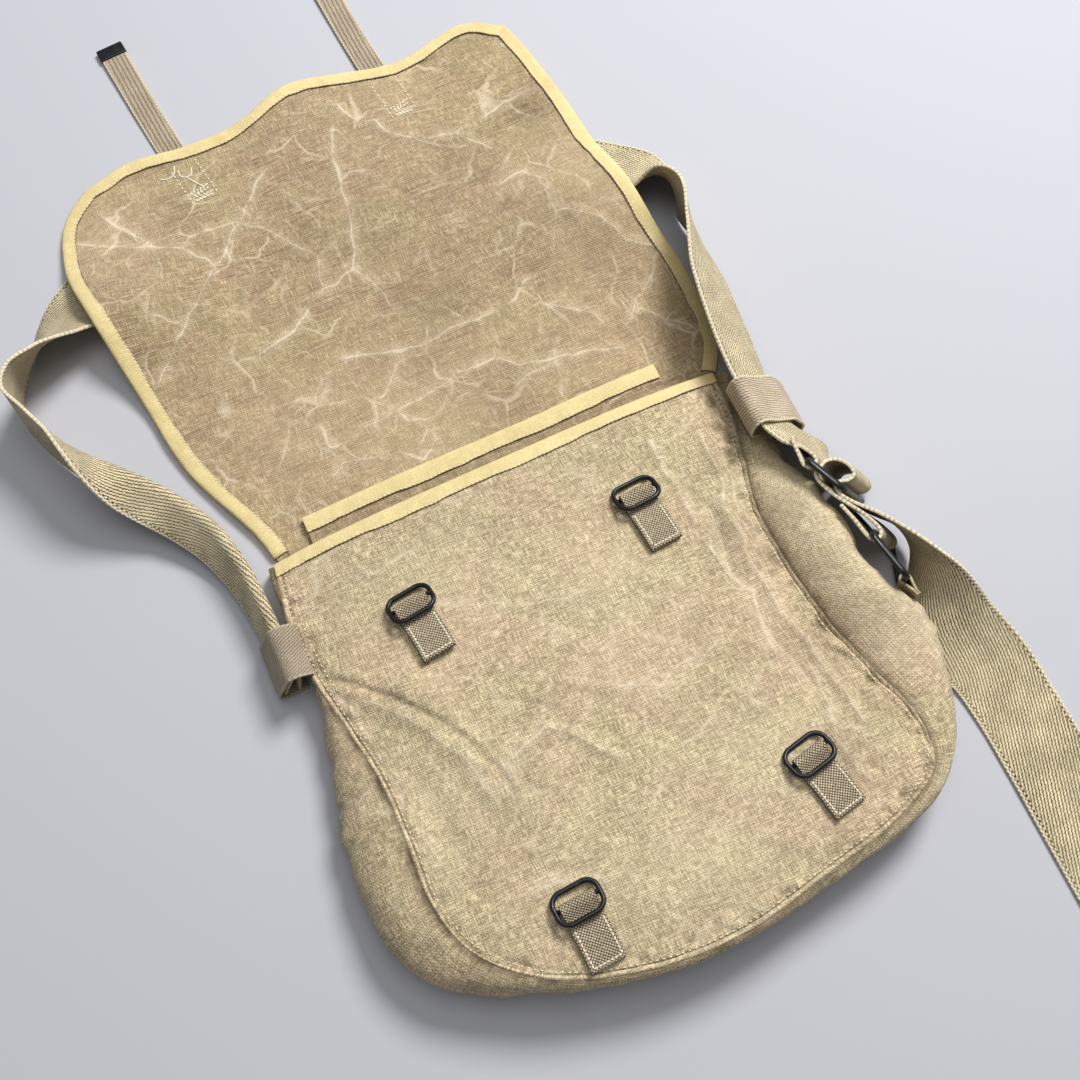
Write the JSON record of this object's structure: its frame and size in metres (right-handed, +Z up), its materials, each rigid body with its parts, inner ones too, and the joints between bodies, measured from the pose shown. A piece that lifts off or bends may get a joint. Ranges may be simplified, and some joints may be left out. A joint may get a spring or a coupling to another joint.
{
  "type": "military shoulder bag",
  "caption": "Faded canvas military shoulder bag lying on its back with the bound flap thrown open, webbing buckle tabs, wire slides, closing straps and a wide shoulder strap.",
  "frame": {"origin": "middle of the back panel's underside, on the surface that the bag lies on", "axes": "+X to the bag's right seen from above, +Y from the bag's bottom toward the opened flap, +Z up off the surface"},
  "size_m": [0.4862, 0.7901, 0.0582],
  "materials": {
    "front_canvas": "faded khaki canvas",
    "flap_canvas": "faded brown canvas with worn crease lines",
    "straw_tape": "straw-coloured binding tape",
    "narrow_webbing": "tan webbing",
    "strap_webbing": "tan twill webbing with light selvedges",
    "black_enamel": "black enamel, worn glossy"
  },
  "bodies": {
    "root": {"front_panel": "front_canvas", "gusset": "front_canvas", "ring_tab": "front_canvas", "back_flap": "flap_canvas", "inner_pocket": "flap_canvas", "mouth_binding": "straw_tape", "flap_binding": "straw_tape", "pocket_binding": "straw_tape", "tab_upper_left": "narrow_webbing", "tab_upper_right": "narrow_webbing", "tab_lower_left": "narrow_webbing", "tab_lower_right": "narrow_webbing", "keeper_left": "narrow_webbing", "keeper_right": "narrow_webbing", "closing_strap_left": "narrow_webbing", "closing_strap_right": "narrow_webbing", "shoulder_strap": "strap_webbing", "tail_strap": "strap_webbing", "slide_upper_left": "black_enamel", "slide_upper_right": "black_enamel", "slide_lower_left": "black_enamel", "slide_lower_right": "black_enamel", "strap_slide": "black_enamel", "end_ring": "black_enamel", "strap_tip_left": "black_enamel", "strap_tip_right": "black_enamel"}
  },
  "joints": []
}
